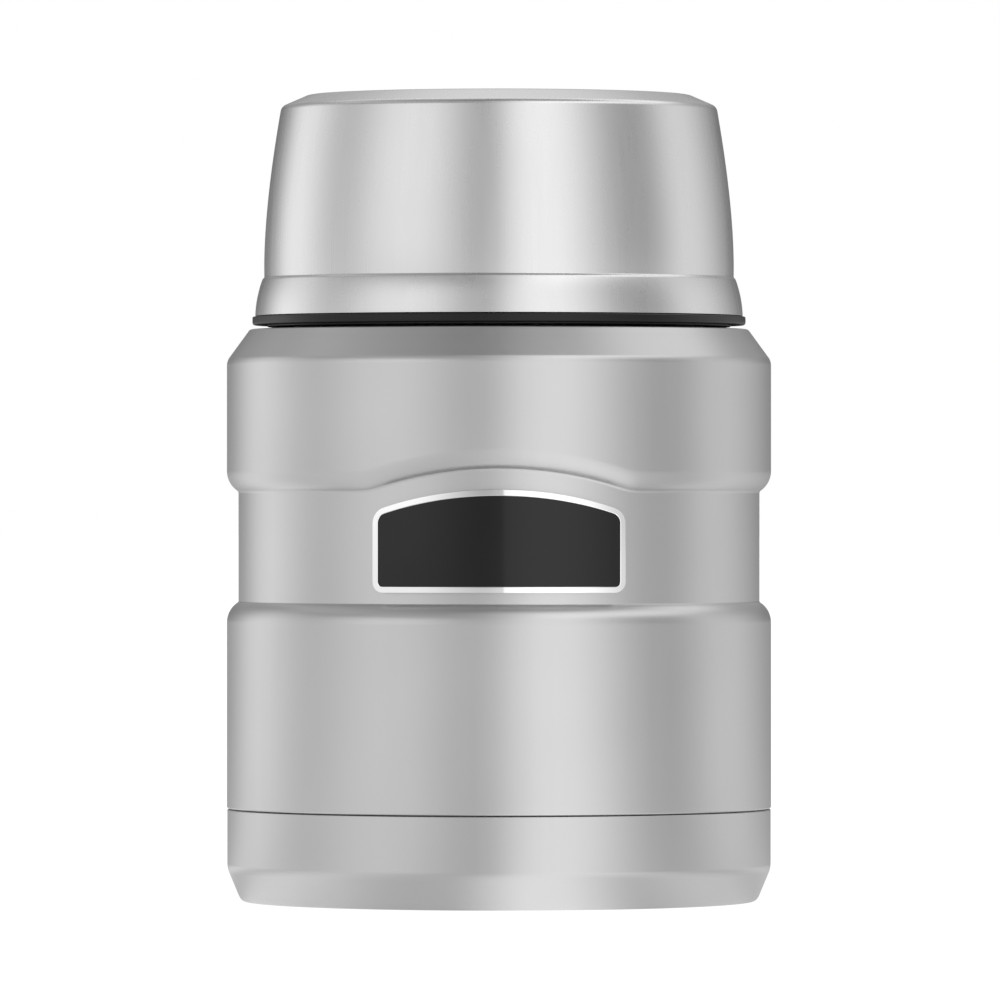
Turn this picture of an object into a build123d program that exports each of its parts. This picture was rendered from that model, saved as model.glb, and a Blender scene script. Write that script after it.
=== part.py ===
from build123d import *
from math import asin, cos, hypot, sin
import os

os.makedirs("parts", exist_ok=True)

# Vacuum-insulated food jar with a screw stopper and a bowl lid that screws over it.
# Millimetres. The origin is the centre of the base, +Z is up and the badge faces -Y.

# Driving dimensions: jar
body_radius = 47.0
waist_radius = 45.0
shell_wall = 0.5
crease_radius = 4.1  # rounding between the body and the waist
waist_bottom = 51.7
waist_top = 70.75
arch_peak = 74.58  # crease height above the badge
arch_slope = 0.669  # fall of the arch per millimetre towards the axis
arch_corner_radius = 12.0
body_top = 93.3
shoulder_radius = 43.0
shoulder_top = 98.8
neck_radius = 35.2
lip_top = 117.0
inset_step = 1.0  # the shell's lower end steps in to take the base cap
step_bottom = 15.7
step_top = 16.2
shell_bottom = 6.6
core_top = 85.0  # where the waist's core ends, hidden in the upper body
shoulder_rounding = 0.5
past_end = 2.0  # how far a hollow runs on past the end it opens

# Driving dimensions: base cap
cap_radius = 46.93
cap_wall = 0.5
cap_top = 15.9
cap_foot_radius = 44.8
cap_chamfer_top = 5.7
foot_recess_radius = 36.0
foot_recess = 1.0
adhesive_bottom = 8.0
adhesive_height = 5.0

# Driving dimensions: inner vessel and vacuum parts
vessel_radius = 41.8
vessel_bottom = 12.6
vessel_shoulder = 86.5
vessel_neck_bottom = 97.0
vessel_neck_radius = 33.9
vessel_corner = 6.0
vessel_bend = 4.0
lip_rounding = 0.2
plate_top = 8.6
plate_wall = 0.6
seal_hole_radius = 1.2
seal_radius = 3.6
seal_height = 1.2
getter_offset = 22.0
getter_radius = 5.5
getter_cup_wall = 0.4
getter_height = 2.2
foil_wall = 0.15

# Driving dimensions: badge
badge_half_width = 20.95
badge_bottom = 53.6
badge_side_top = 67.4
badge_peak = 71.1
badge_border = 1.07
badge_corner_radius = 1.9
badge_frame_height = 0.9
badge_face_height = 0.6
tape_wall = 0.25

# Driving dimensions: threads
neck_lead = 10.0
neck_starts = 2
neck_turn = 200
neck_thread_bottom = 103.4
lid_lead = 20.0
lid_starts = 4
lid_turn = 95
lid_thread_bottom = 105.2
ridge_height = 1.0
ridge_root = 2.2
ridge_crest = 1.0
ridge_sink = 0.2

# Driving dimensions: stopper
skirt_inner = 36.4
skirt_outer = 37.7
skirt_bottom = 99.15
flange_radius = 40.0
flange_wall = 0.5
deck_bottom = 117.4
deck_top = 119.4
grip_radius = 35.4
grip_wall = 1.6
grip_top = 129.0
grip_chamfer = 0.6
grip_flutes = 18
flute_radius = 1.2
plug_radius = 32.6
plug_core_radius = 31.4
plug_wall = 1.4
plug_chamfer = 0.6
plug_bottom = 103.0
gasket_bottom = 105.1
gasket_top = 109.0
gasket_radius = 33.3
gasket_lip = 1.0
fit_gap = 0.05  # clearance where two pieces fit round each other

# Driving dimensions: folding spoon, lying in the recess of the grip
spoon_gap = 0.35
spoon_length = 42.0
spoon_width = 34.0
spoon_depth = 6.0
spoon_wall = 1.0
spoon_centre_x = -7.5
spoon_floor_share = 0.45  # flat floor's share of the rim's length and width
spoon_belly_share = 0.87
spoon_belly_height = 2.3
pivot_x = 26.0
barrel_radius = 2.0
rivet_radius = 1.0
rivet_head_radius = 1.8
rivet_head_height = 0.6
neck_plate = 1.2
ear_inner = 3.3
ear_wall = 1.5
handle_wall = 1.5
handle_half_width = 6.0
handle_root_half_width = 3.0
handle_tip_x = -24.0
handle_over_bowl = 0.4

# Driving dimensions: bowl lid
lid_rim_radius = 42.6
lid_rim_bottom = 99.45
lid_rim_top = 100.95
lid_bottom = 101.05
lid_skirt_radius = 42.12
lid_skirt_bow = 0.36
lid_waist_radius = 40.88
lid_step_z = 107.4
lid_wall_radius = 40.55
lid_middle_radius = 39.93
lid_middle_z = 120.8
lid_top_radius = 37.6
lid_bevel_bottom = 137.2
lid_bevel_radius = 33.0
lid_top = 139.2
lid_top_rounding = 0.7
lid_wall = 0.5
lid_pad_radius = 30.0
rim_inner_radius = 39.1
rim_ledge_z = 99.95
rim_lip_radius = 41.5
rim_chamfer = 0.45
liner_outer = 39.9
liner_wall = 1.0
liner_straight_top = 112.0
liner_middle_radius = 39.1
liner_middle_z = 122.0
liner_corner_radius = 37.1
liner_corner_z = 133.5
liner_top = 136.0


def save(builder, name):
    """Labels one finished piece and writes its file."""
    builder.part.label = name
    export_step(builder.part, f"parts/{name}.step")
    print(name, round(builder.part.volume), "mm3")


def move_outline_in(inset):
    """Moves a half section's outline inwards, but not off the axis."""
    if inset:
        mirror(about=Plane.YZ)
        offset(amount=-inset, kind=Kind.INTERSECTION)
        split(bisect_by=Plane.YZ, keep=Keep.TOP)


def thread(root_radius, outward, lead, starts, turn, bottom):
    """Helical ridges on a cylinder, standing out of it or into it."""
    side = 1 if outward else -1
    with BuildPart() as ridge:
        with BuildLine() as route:
            Helix(lead, lead * turn / 360, root_radius, center=(0, 0, bottom))
        start = route.line @ 0
        with BuildSketch(Plane(start, x_dir=(side, 0, 0), z_dir=route.line % 0)):
            with BuildLine():
                Polyline(
                    (-ridge_sink, -ridge_root / 2),
                    (ridge_height, -ridge_crest / 2),
                    (ridge_height, ridge_crest / 2),
                    (-ridge_sink, ridge_root / 2),
                    close=True,
                )
            make_face()
        sweep(is_frenet=True)
    with BuildPart() as ridges:
        with PolarLocations(0, starts):
            add(ridge.part)
    return ridges.part


def envelope(inset, bottom, top):
    """Solid bounded by the jar's outer surface moved inwards by inset."""
    rounding = crease_radius - inset
    core = body_radius - crease_radius
    drop = (crease_radius**2 - (waist_radius - core) ** 2) ** 0.5
    ledge = waist_top + drop - crease_radius  # underside of the upper body before rounding
    arch_plane = arch_peak + drop - arch_slope * core - rounding * hypot(1, arch_slope)
    step_radius = body_radius - inset_step
    half_bend = asin(drop / crease_radius) / 2
    with BuildPart() as solid:
        with BuildSketch(Plane.XZ):
            with BuildLine():
                Polyline(
                    (0, ledge),
                    (body_radius, ledge),
                    (body_radius, body_top),
                    (shoulder_radius, shoulder_top),
                    (neck_radius, shoulder_top),
                    (neck_radius, top),
                    (0, top),
                    close=True,
                )
            make_face()
            move_outline_in(inset)
        revolve(axis=Axis.Z)
        split(bisect_by=Plane((0, 0, arch_plane), z_dir=(0, arch_slope, 1)), keep=Keep.TOP)
        fillet(solid.edges().filter_by(Axis.X), arch_corner_radius)
        rim = body_radius - inset
        lower_edges = [
            edge
            for edge in solid.edges()
            if all(
                abs(hypot((edge @ t).X, (edge @ t).Y) - rim) < 0.01 and (edge @ t).Z < core_top
                for t in (0, 0.5, 1)
            )
        ]
        fillet(lower_edges, rounding)
        with BuildSketch(Plane.XZ):
            with BuildLine():
                Polyline(
                    (0, bottom),
                    (step_radius, bottom),
                    (step_radius, step_bottom),
                    (body_radius, step_top),
                    (body_radius, waist_bottom - drop),
                )
                ThreePointArc(
                    (body_radius, waist_bottom - drop),
                    (
                        core + crease_radius * cos(half_bend),
                        waist_bottom - drop + crease_radius * sin(half_bend),
                    ),
                    (waist_radius, waist_bottom),
                )
                Polyline(
                    (waist_radius, waist_bottom),
                    (waist_radius, core_top),
                    (0, core_top),
                    (0, bottom),
                )
            make_face()
            move_outline_in(inset)
        revolve(axis=Axis.Z)
    return solid.part


# Outer shell: body, arched waist, shoulder and threaded neck in one drawn sheet
outer_volume = envelope(0, shell_bottom, lip_top - shell_wall)
inner_volume = envelope(shell_wall, shell_bottom - past_end, lip_top + past_end)
neck_thread = thread(neck_radius, True, neck_lead, neck_starts, neck_turn, neck_thread_bottom)
with BuildPart() as outer_shell:
    add(outer_volume)
    shoulder_edges = [
        edge
        for edge in outer_shell.edges().filter_by(GeomType.CIRCLE)
        if edge.center().Z > core_top and edge.radius > neck_radius + shell_wall
    ]
    fillet(shoulder_edges, shoulder_rounding)
    add(inner_volume, mode=Mode.SUBTRACT)
    add(neck_thread)
save(outer_shell, "outer_shell")


def vessel_volume(inset, top):
    """Solid bounded by the inner vessel's outside, moved inwards by inset."""
    with BuildPart() as volume:
        with BuildSketch(Plane.XZ):
            with BuildLine():
                Polyline(
                    (0, vessel_bottom),
                    (vessel_radius, vessel_bottom),
                    (vessel_radius, vessel_shoulder),
                    (vessel_neck_radius, vessel_neck_bottom),
                    (vessel_neck_radius, top),
                    (0, top),
                    close=True,
                )
            make_face()
            move_outline_in(inset)
        revolve(axis=Axis.Z)
        circles = volume.edges().filter_by(GeomType.CIRCLE)
        fillet(circles.group_by(Axis.Z)[0], vessel_corner - inset)
        fillet(circles.group_by(Axis.Z)[1], vessel_bend + inset)
    return volume.part


# Inner vessel: the food cavity, its neck and the rolled lip that closes the vacuum space
outer_vessel = vessel_volume(0, lip_top)
food_space = vessel_volume(shell_wall, lip_top + past_end)
with BuildPart() as inner_vessel:
    add(outer_vessel)
    with BuildSketch(Plane.XY.offset(lip_top - shell_wall)):
        Circle(neck_radius)
    extrude(amount=shell_wall)
    fillet(inner_vessel.edges().group_by(Axis.Z)[-1], lip_rounding)
    add(food_space, mode=Mode.SUBTRACT)
save(inner_vessel, "inner_vessel")

# Bottom plate: closes the vacuum space inside the outer shell's lower end
plate_radius = body_radius - inset_step - shell_wall - fit_gap
with BuildPart() as vacuum_bottom_plate:
    with BuildSketch(Plane.XZ):
        with BuildLine():
            Polyline(
                (seal_hole_radius, plate_top - plate_wall),
                (plate_radius - plate_wall, plate_top - plate_wall),
                (plate_radius - plate_wall, shell_bottom),
                (plate_radius, shell_bottom),
                (plate_radius, plate_top),
                (seal_hole_radius, plate_top),
                close=True,
            )
        make_face()
    revolve(axis=Axis.Z)
save(vacuum_bottom_plate, "vacuum_bottom_plate")

# Evacuation seal: the bead that plugs the hole the air was drawn out through
with BuildPart() as evacuation_seal:
    with BuildSketch(Plane.XZ):
        with BuildLine():
            Polyline(
                (0, plate_top - plate_wall - seal_height),
                (seal_radius / 2, plate_top - plate_wall - seal_height),
                (seal_radius, plate_top - plate_wall),
                (seal_hole_radius, plate_top - plate_wall),
                (seal_hole_radius, plate_top),
                (0, plate_top),
                close=True,
            )
        make_face()
    revolve(axis=Axis.Z)
save(evacuation_seal, "evacuation_seal")

# Getter: a gas-binding tablet in a small cup welded on the bottom plate
with BuildPart() as getter_holder:
    with BuildSketch(Plane.XY.offset(plate_top)):
        with Locations((getter_offset, 0)):
            Circle(getter_radius + getter_cup_wall)
    extrude(amount=getter_height)
    with BuildSketch(Plane.XY.offset(plate_top + getter_cup_wall)):
        with Locations((getter_offset, 0)):
            Circle(getter_radius)
    extrude(amount=getter_height, mode=Mode.SUBTRACT)
save(getter_holder, "getter_holder")

with BuildPart() as getter_tablet:
    with BuildSketch(Plane.XY.offset(plate_top + getter_cup_wall)):
        with Locations((getter_offset, 0)):
            Circle(getter_radius - fit_gap)
    extrude(amount=getter_height - 2 * getter_cup_wall)
    fillet(getter_tablet.edges().group_by(Axis.Z)[-1], getter_cup_wall)
save(getter_tablet, "getter_tablet")

# Radiation foil: one wrap round the inner vessel's straight wall
with BuildPart() as radiation_foil:
    with BuildSketch(Plane.XY.offset(vessel_bottom + vessel_corner)):
        Circle(vessel_radius + fit_gap + foil_wall)
        Circle(vessel_radius + fit_gap, mode=Mode.SUBTRACT)
    extrude(amount=vessel_shoulder - vessel_bend - vessel_bottom - vessel_corner)
save(radiation_foil, "radiation_foil")


def cap_volume(inset, top):
    """Solid bounded by the base cap's outside, moved inwards by inset."""
    with BuildPart() as volume:
        with BuildSketch(Plane.XZ):
            with BuildLine():
                Polyline(
                    (0, foot_recess),
                    (foot_recess_radius, foot_recess),
                    (foot_recess_radius + foot_recess, 0),
                    (cap_foot_radius - foot_recess, 0),
                    (cap_foot_radius, foot_recess / 2),
                    (cap_radius, cap_chamfer_top),
                    (cap_radius, top),
                    (0, top),
                    close=True,
                )
            make_face()
            move_outline_in(inset)
        revolve(axis=Axis.Z)
    return volume.part


# Base cap: a pressed cup over the shell's lower end, standing on its foot ring
cap_outside = cap_volume(0, cap_top)
cap_inside = cap_volume(cap_wall, cap_top + past_end)
with BuildPart() as base_cap:
    add(cap_outside)
    add(cap_inside, mode=Mode.SUBTRACT)
save(base_cap, "base_cap")

# Base adhesive: the band that bonds the cap to the shell's lower end
with BuildPart() as base_adhesive:
    with BuildSketch(Plane.XY.offset(adhesive_bottom)):
        Circle(cap_radius - cap_wall - fit_gap)
        Circle(body_radius - inset_step, mode=Mode.SUBTRACT)
    extrude(amount=adhesive_height)
save(base_adhesive, "base_adhesive")


def badge_piece(inner, outer, border):
    """Plate bent round the waist, with the badge's outline moved inwards by border."""
    with BuildPart() as plate:
        with BuildSketch(Plane.XY.offset(badge_bottom)):
            Circle(outer)
            Circle(inner, mode=Mode.SUBTRACT)
        extrude(amount=badge_peak - badge_bottom)
        with BuildSketch(Plane.XZ):
            with BuildLine():
                Polyline(
                    (-badge_half_width, badge_side_top),
                    (-badge_half_width, badge_bottom),
                    (badge_half_width, badge_bottom),
                    (badge_half_width, badge_side_top),
                )
                ThreePointArc(
                    (badge_half_width, badge_side_top),
                    (0, badge_peak),
                    (-badge_half_width, badge_side_top),
                )
            badge = make_face()
            fillet(badge.vertices(), badge_corner_radius)
            if border:
                offset(amount=-border)
        extrude(amount=body_radius, mode=Mode.INTERSECT)
    return plate.part


# Badge: a blank plate in a raised frame, held on the waist by a film of tape
tape_radius = waist_radius + tape_wall
with BuildPart() as badge_tape:
    add(badge_piece(waist_radius, tape_radius, badge_border / 2))
save(badge_tape, "badge_tape")

frame_hole = badge_piece(waist_radius, body_radius, badge_border)
with BuildPart() as badge_frame:
    add(badge_piece(tape_radius, tape_radius + badge_frame_height, 0))
    add(frame_hole, mode=Mode.SUBTRACT)
save(badge_frame, "badge_frame")

with BuildPart() as badge_face:
    add(badge_piece(tape_radius, tape_radius + badge_face_height, badge_border + fit_gap))
save(badge_face, "badge_face")

# Stopper cap: a deck over the mouth, a threaded skirt round the neck and a fluted grip
skirt_ridges = thread(skirt_outer, True, lid_lead, lid_starts, lid_turn, lid_thread_bottom)
skirt_grooves = thread(
    skirt_inner,
    False,
    neck_lead,
    neck_starts,
    neck_turn,
    neck_thread_bottom - neck_lead / neck_starts / 2,
)
with BuildPart() as stopper_cap:
    with BuildSketch(Plane.XZ):
        with BuildLine():
            Polyline(
                (0, deck_bottom),
                (skirt_inner, deck_bottom),
                (skirt_inner, skirt_bottom),
                (flange_radius, skirt_bottom),
                (flange_radius, skirt_bottom + flange_wall),
                (skirt_outer, skirt_bottom + flange_wall),
                (skirt_outer, deck_top - grip_chamfer),
                (skirt_outer - grip_chamfer, deck_top),
                (grip_radius, deck_top),
                (grip_radius, grip_top - grip_chamfer),
                (grip_radius - grip_chamfer, grip_top),
                (grip_radius - grip_wall, grip_top),
                (grip_radius - grip_wall, deck_top),
                (0, deck_top),
                close=True,
            )
        make_face()
    revolve(axis=Axis.Z)
    with BuildSketch(Plane.XY.offset(deck_top + grip_wall)):
        with PolarLocations(grip_radius + flute_radius / 2, grip_flutes):
            Circle(flute_radius)
    extrude(amount=grip_top - deck_top, mode=Mode.SUBTRACT)
    add(skirt_ridges)
    add(skirt_grooves)
save(stopper_cap, "stopper_cap")

# Stopper plug: the cup that hangs in the mouth, with a seat for its gasket
with BuildPart() as stopper_plug:
    with BuildSketch(Plane.XZ):
        with BuildLine():
            Polyline(
                (0, plug_bottom),
                (plug_radius - plug_chamfer, plug_bottom),
                (plug_radius, plug_bottom + plug_chamfer),
                (plug_radius, gasket_bottom),
                (plug_core_radius, gasket_bottom),
                (plug_core_radius, gasket_top),
                (plug_radius, gasket_top),
                (plug_radius, gasket_top + plug_wall),
                (plug_core_radius, gasket_top + plug_wall),
                (plug_core_radius, deck_bottom),
                (plug_core_radius - plug_wall, deck_bottom),
                (plug_core_radius - plug_wall, plug_bottom + plug_wall),
                (0, plug_bottom + plug_wall),
                close=True,
            )
        make_face()
    revolve(axis=Axis.Z)
save(stopper_plug, "stopper_plug")

# Stopper insulation: the foam block sealed between plug and deck
with BuildPart() as stopper_insulation:
    with BuildSketch(Plane.XY.offset(plug_bottom + plug_wall)):
        Circle(plug_core_radius - plug_wall - fit_gap)
    extrude(amount=deck_bottom - plug_bottom - plug_wall)
save(stopper_insulation, "stopper_insulation")

# Stopper gasket: a soft ring with two lips that wipe the mouth's bore
gasket_core = plug_core_radius + fit_gap
gasket_waist = plug_radius + fit_gap
gasket_middle = (gasket_bottom + gasket_top) / 2
with BuildPart() as stopper_gasket:
    with BuildSketch(Plane.XZ):
        with BuildLine():
            Polyline(
                (gasket_core, gasket_bottom + fit_gap),
                (gasket_waist, gasket_bottom + fit_gap),
                (gasket_radius, gasket_middle - gasket_lip),
                (gasket_waist, gasket_middle - gasket_lip / 2),
                (gasket_waist, gasket_middle + gasket_lip / 2),
                (gasket_radius, gasket_middle + gasket_lip),
                (gasket_waist, gasket_top - fit_gap),
                (gasket_core, gasket_top - fit_gap),
                close=True,
            )
        make_face()
    revolve(axis=Axis.Z)
save(stopper_gasket, "stopper_gasket")


# Folding spoon: its bowl, with a short neck that ends in two ears for the rivet
rim_z = deck_top + spoon_gap + spoon_depth
pivot_z = rim_z + handle_over_bowl + handle_wall / 2
blade_start = pivot_x - 3 * barrel_radius
neck_start_x = spoon_centre_x + spoon_length / 2 - 3 * spoon_wall
neck_end_x = pivot_x - barrel_radius - handle_over_bowl


def bowl_volume(inset, top):
    """Scoop bounded by the spoon bowl's outside, moved inwards by inset."""
    floor_z = rim_z - spoon_depth + inset
    heights = (floor_z, floor_z + spoon_belly_height, rim_z)
    shares = (spoon_floor_share, spoon_belly_share, 1)
    with BuildPart() as scoop:
        for height, share in zip(heights, shares):
            with BuildSketch(Plane.XY.offset(height)):
                with Locations((spoon_centre_x, 0)):
                    Ellipse(spoon_length / 2 * share - inset, spoon_width / 2 * share - inset)
        loft()
        if top > rim_z:
            extrude(scoop.faces().sort_by(Axis.Z)[-1], amount=top - rim_z)
    return scoop.part


with BuildPart() as spoon_bowl:
    add(bowl_volume(0, rim_z))
    with BuildSketch(Plane.XY.offset(rim_z - neck_plate)):
        with BuildLine():
            Polyline(
                (neck_start_x, -ear_inner - ear_wall),
                (neck_end_x, -ear_inner - ear_wall),
                (neck_end_x, ear_inner + ear_wall),
                (neck_start_x, ear_inner + ear_wall),
                close=True,
            )
        make_face()
    extrude(amount=neck_plate)
    for ear_face in (-ear_inner - ear_wall, ear_inner):
        with BuildSketch(Plane.XZ.offset(ear_face)):
            with Locations((pivot_x, pivot_z)):
                Circle(barrel_radius)
            with BuildLine():
                Polyline(
                    (pivot_x, pivot_z + barrel_radius),
                    (pivot_x - barrel_radius, pivot_z),
                    (blade_start, rim_z),
                    (blade_start, rim_z - neck_plate),
                    (pivot_x, rim_z - neck_plate),
                    close=True,
                )
            make_face()
        extrude(amount=ear_wall)
    with BuildSketch(Plane.XZ.offset(-body_radius)):
        with Locations((pivot_x, pivot_z)):
            Circle(rivet_radius)
    extrude(amount=2 * body_radius, mode=Mode.SUBTRACT)
    add(bowl_volume(spoon_wall, rim_z + spoon_wall), mode=Mode.SUBTRACT)
save(spoon_bowl, "spoon_bowl")

# Spoon handle: a flat blade with a barrel that turns on the rivet
with BuildPart() as spoon_handle:
    with BuildSketch(Plane.XY.offset(pivot_z - handle_wall / 2)):
        with BuildLine():
            Polyline(
                (pivot_x, -handle_root_half_width),
                (blade_start, -handle_root_half_width),
                (blade_start - handle_half_width, -handle_half_width),
                (handle_tip_x + handle_half_width, -handle_half_width),
            )
            ThreePointArc(
                (handle_tip_x + handle_half_width, -handle_half_width),
                (handle_tip_x, 0),
                (handle_tip_x + handle_half_width, handle_half_width),
            )
            Polyline(
                (handle_tip_x + handle_half_width, handle_half_width),
                (blade_start - handle_half_width, handle_half_width),
                (blade_start, handle_root_half_width),
                (pivot_x, handle_root_half_width),
                (pivot_x, -handle_root_half_width),
            )
        make_face()
        with Locations((handle_tip_x + 2 * handle_half_width, 0)):
            SlotOverall(2 * handle_half_width, handle_root_half_width, mode=Mode.SUBTRACT)
    extrude(amount=handle_wall)
    with BuildSketch(Plane.XZ.offset(-handle_root_half_width)):
        with Locations((pivot_x, pivot_z)):
            Circle(barrel_radius)
    extrude(amount=2 * handle_root_half_width)
    with BuildSketch(Plane.XZ.offset(-handle_root_half_width)):
        with Locations((pivot_x, pivot_z)):
            Circle(rivet_radius + fit_gap)
    extrude(amount=2 * handle_root_half_width, mode=Mode.SUBTRACT)
save(spoon_handle, "spoon_handle")

# Spoon rivet: the pin through both ears, headed at each end
rivet_half_length = ear_inner + ear_wall
with BuildPart() as spoon_rivet:
    with BuildSketch(Plane.XZ.offset(-rivet_half_length)):
        with Locations((pivot_x, pivot_z)):
            Circle(rivet_radius)
    extrude(amount=2 * rivet_half_length)
    for head_face in (-rivet_half_length - rivet_head_height, rivet_half_length):
        with BuildSketch(Plane.XZ.offset(head_face)):
            with Locations((pivot_x, pivot_z)):
                Circle(rivet_head_radius)
        extrude(amount=rivet_head_height)
save(spoon_rivet, "spoon_rivet")


def lid_volume(inset, bottom):
    """Solid bounded by the bowl lid's outside, moved inwards by inset."""
    with BuildPart() as volume:
        with BuildSketch(Plane.XZ):
            with BuildLine():
                Line((0, bottom), (lid_skirt_radius, bottom))
                if bottom < lid_bottom:
                    Line((lid_skirt_radius, bottom), (lid_skirt_radius, lid_bottom))
                ThreePointArc(
                    (lid_skirt_radius, lid_bottom),
                    (lid_skirt_radius - lid_skirt_bow, (lid_bottom + lid_step_z) / 2),
                    (lid_waist_radius, lid_step_z),
                )
                Line(
                    (lid_waist_radius, lid_step_z),
                    (lid_wall_radius, lid_step_z + lid_waist_radius - lid_wall_radius),
                )
                ThreePointArc(
                    (lid_wall_radius, lid_step_z + lid_waist_radius - lid_wall_radius),
                    (lid_middle_radius, lid_middle_z),
                    (lid_top_radius, lid_bevel_bottom),
                )
                Polyline(
                    (lid_top_radius, lid_bevel_bottom),
                    (lid_bevel_radius, lid_top),
                    (0, lid_top),
                    (0, bottom),
                )
            make_face()
            move_outline_in(inset)
        revolve(axis=Axis.Z)
    return volume.part


# Lid shell: the drawn steel outside of the bowl lid
lid_outside = lid_volume(0, lid_bottom)
lid_inside = lid_volume(lid_wall, lid_bottom - past_end)
with BuildPart() as lid_shell:
    add(lid_outside)
    circles = lid_shell.edges().filter_by(GeomType.CIRCLE)
    fillet(circles.group_by(Axis.Z)[-2:], lid_top_rounding)
    add(lid_inside, mode=Mode.SUBTRACT)
save(lid_shell, "lid_shell")


def liner_volume(inset, bottom):
    """Solid bounded by the lid liner's outside, moved inwards by inset."""
    with BuildPart() as volume:
        with BuildSketch(Plane.XZ):
            with BuildLine():
                Polyline((0, bottom), (liner_outer, bottom), (liner_outer, liner_straight_top))
                ThreePointArc(
                    (liner_outer, liner_straight_top),
                    (liner_middle_radius, liner_middle_z),
                    (liner_corner_radius, liner_corner_z),
                )
                Polyline(
                    (liner_corner_radius, liner_corner_z),
                    (liner_corner_radius - liner_top + liner_corner_z, liner_top),
                    (0, liner_top),
                    (0, bottom),
                )
            make_face()
            move_outline_in(inset)
        revolve(axis=Axis.Z)
    return volume.part


# Lid liner: the bowl that the food goes in, threaded to screw over the stopper
liner_outside = liner_volume(0, lid_bottom)
liner_inside = liner_volume(liner_wall, lid_bottom - past_end)
liner_thread = thread(
    liner_outer - liner_wall,
    False,
    lid_lead,
    lid_starts,
    lid_turn,
    lid_thread_bottom - lid_lead / lid_starts / 2,
)
with BuildPart() as lid_liner:
    add(liner_outside)
    add(liner_inside, mode=Mode.SUBTRACT)
    add(liner_thread)
save(lid_liner, "lid_liner")

# Lid insulation: the disc between the liner's floor and the shell's top
with BuildPart() as lid_insulation:
    with BuildSketch(Plane.XY.offset(liner_top)):
        Circle(lid_pad_radius)
    extrude(amount=lid_top - lid_wall - liner_top)
save(lid_insulation, "lid_insulation")

# Lid rim ring: the bumper ring under the lid shell's edge
with BuildPart() as lid_rim_ring:
    with BuildSketch(Plane.XZ):
        with BuildLine():
            Polyline(
                (rim_inner_radius, rim_ledge_z),
                (rim_lip_radius, rim_ledge_z),
                (rim_lip_radius, lid_rim_bottom),
                (lid_rim_radius - rim_chamfer, lid_rim_bottom),
                (lid_rim_radius, lid_rim_bottom + rim_chamfer),
                (lid_rim_radius, lid_rim_top - rim_chamfer),
                (lid_rim_radius - rim_chamfer, lid_rim_top),
                (rim_inner_radius, lid_rim_top),
                close=True,
            )
        make_face()
    revolve(axis=Axis.Z)
save(lid_rim_ring, "lid_rim_ring")
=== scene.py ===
import bpy
import bmesh
from math import asin, atan2, cos, degrees, hypot, pi, radians, sin, sqrt
from mathutils import Matrix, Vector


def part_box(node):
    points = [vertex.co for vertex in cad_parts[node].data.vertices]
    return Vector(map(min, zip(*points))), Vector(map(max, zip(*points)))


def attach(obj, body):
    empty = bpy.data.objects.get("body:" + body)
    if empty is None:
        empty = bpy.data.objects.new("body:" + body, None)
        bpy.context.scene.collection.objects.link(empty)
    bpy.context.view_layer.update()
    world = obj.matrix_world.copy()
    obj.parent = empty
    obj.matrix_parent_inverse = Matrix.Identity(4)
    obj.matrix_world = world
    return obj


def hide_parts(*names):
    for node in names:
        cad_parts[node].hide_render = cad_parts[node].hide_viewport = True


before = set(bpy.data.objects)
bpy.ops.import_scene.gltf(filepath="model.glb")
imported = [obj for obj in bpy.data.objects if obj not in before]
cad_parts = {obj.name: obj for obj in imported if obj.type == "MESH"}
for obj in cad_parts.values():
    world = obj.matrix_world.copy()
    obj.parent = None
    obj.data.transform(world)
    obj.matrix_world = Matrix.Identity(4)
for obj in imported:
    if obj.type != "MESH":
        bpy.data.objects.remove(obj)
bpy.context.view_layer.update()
mm = 0.001


# camera, floor and studio light

camera = {
    "distance": 1.876,  # from the jar's axis
    "height": 0.0711,
    "lens": 390.8,
    "sensor": 36,
    "shift": (0.001, -0.0105),
}

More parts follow.
